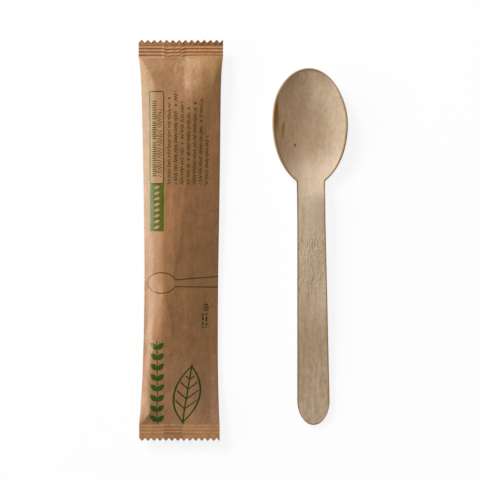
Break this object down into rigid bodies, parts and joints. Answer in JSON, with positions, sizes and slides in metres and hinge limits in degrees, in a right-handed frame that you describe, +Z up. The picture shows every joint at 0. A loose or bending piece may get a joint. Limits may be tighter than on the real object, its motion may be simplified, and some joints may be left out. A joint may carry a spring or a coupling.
{
  "type": "wooden spoon pack",
  "caption": "Pressed wooden spoon with an oval bowl beside a like spoon sealed in a long kraft paper sleeve with crimped, toothed ends.",
  "frame": {"origin": "middle of the pack's outline seen from above, on the surface it lies on", "axes": "+Y along the wrapper towards the bowl end of the bare spoon, +X from the wrapper to the bare spoon, +Z up from the surface"},
  "size_m": [0.0938, 0.18, 0.0098],
  "materials": {
    "kraft_paper": "calendered kraft paper with faint fibres, a soft sheen and green print",
    "birch_veneer": "unfinished pressed birch veneer, matt, with browned cut edges"
  },
  "bodies": {
    "root": {"paper_wrapper": "kraft_paper", "wooden_spoon": "birch_veneer"}
  },
  "joints": []
}
